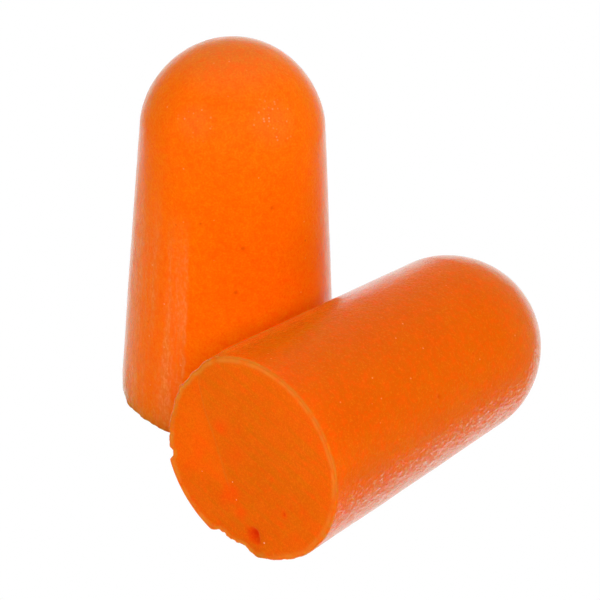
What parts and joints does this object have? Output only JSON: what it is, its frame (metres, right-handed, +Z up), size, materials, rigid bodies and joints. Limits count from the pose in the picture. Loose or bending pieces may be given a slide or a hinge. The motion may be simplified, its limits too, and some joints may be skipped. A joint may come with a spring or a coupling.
{
  "type": "foam ear plugs",
  "caption": "Pair of soft tapered foam ear plugs with rounded tips and cut flat ends, one standing and one lying on its side.",
  "frame": {"origin": "bottom centre of the pair's bounding box, on the surface that both plugs rest on", "axes": "+Z up along the standing plug; the lying plug's tip points towards +X and +Y, and -Y is the front that its cut end looks towards"},
  "size_m": [0.0254, 0.0284, 0.024],
  "materials": {
    "upright_foam": "bright orange slow-recovery polyurethane foam, fine matt closed skin, flat cut base",
    "lying_foam": "bright orange slow-recovery polyurethane foam, smooth closed skin with a soft sheen, matt cut end with knife marks"
  },
  "bodies": {
    "lying": {"lying_plug": "lying_foam"},
    "upright": {"upright_plug": "upright_foam"}
  },
  "joints": [
    {"name": "lift_upright_plug", "type": "slide", "parent": "lying", "child": "upright", "axis": [0, 0, 1], "range_m": [0, 0.03]}
  ]
}
